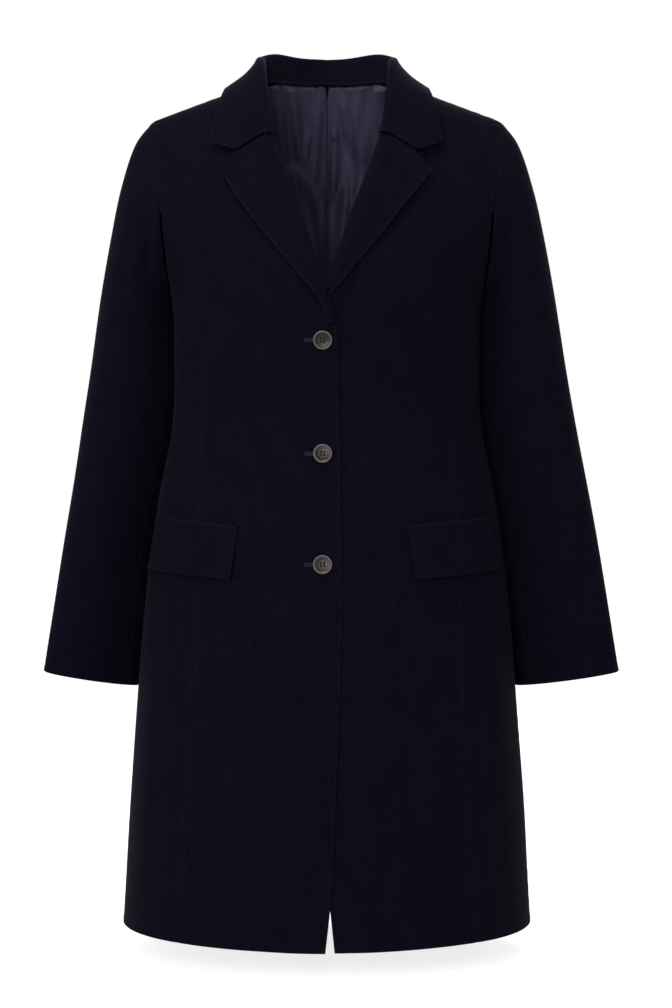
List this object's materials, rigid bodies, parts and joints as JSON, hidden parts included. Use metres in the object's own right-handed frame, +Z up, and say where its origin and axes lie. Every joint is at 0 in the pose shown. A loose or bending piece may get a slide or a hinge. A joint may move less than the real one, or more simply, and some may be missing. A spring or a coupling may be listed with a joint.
{
  "type": "coat",
  "caption": "Knee-length navy single-breasted coat with notch lapels, flap pockets, princess seams and a lined back, filled out as when worn.",
  "frame": {"origin": "midway between the two neck points of the shoulder line, where a wearer or a hanger carries the coat", "axes": "+Z up from hem to collar, +X towards the wearer's left, the front of the coat faces -Y"},
  "size_m": [0.626, 0.323, 0.9784],
  "materials": {
    "cloth": "brushed matte",
    "lining": "satin",
    "button": "satin"
  },
  "bodies": {
    "root": {"front_right": "cloth", "side_front_right": "cloth", "back_right": "cloth", "top_sleeve_right": "cloth", "under_sleeve_right": "cloth", "lapel_right": "cloth", "pocket_flap_right": "cloth", "back_lining_right": "lining", "front_left": "cloth", "side_front_left": "cloth", "back_left": "cloth", "top_sleeve_left": "cloth", "under_sleeve_left": "cloth", "lapel_left": "cloth", "pocket_flap_left": "cloth", "back_lining_left": "lining", "collar": "cloth", "button_1": "button", "button_2": "button", "button_3": "button"}
  },
  "joints": []
}
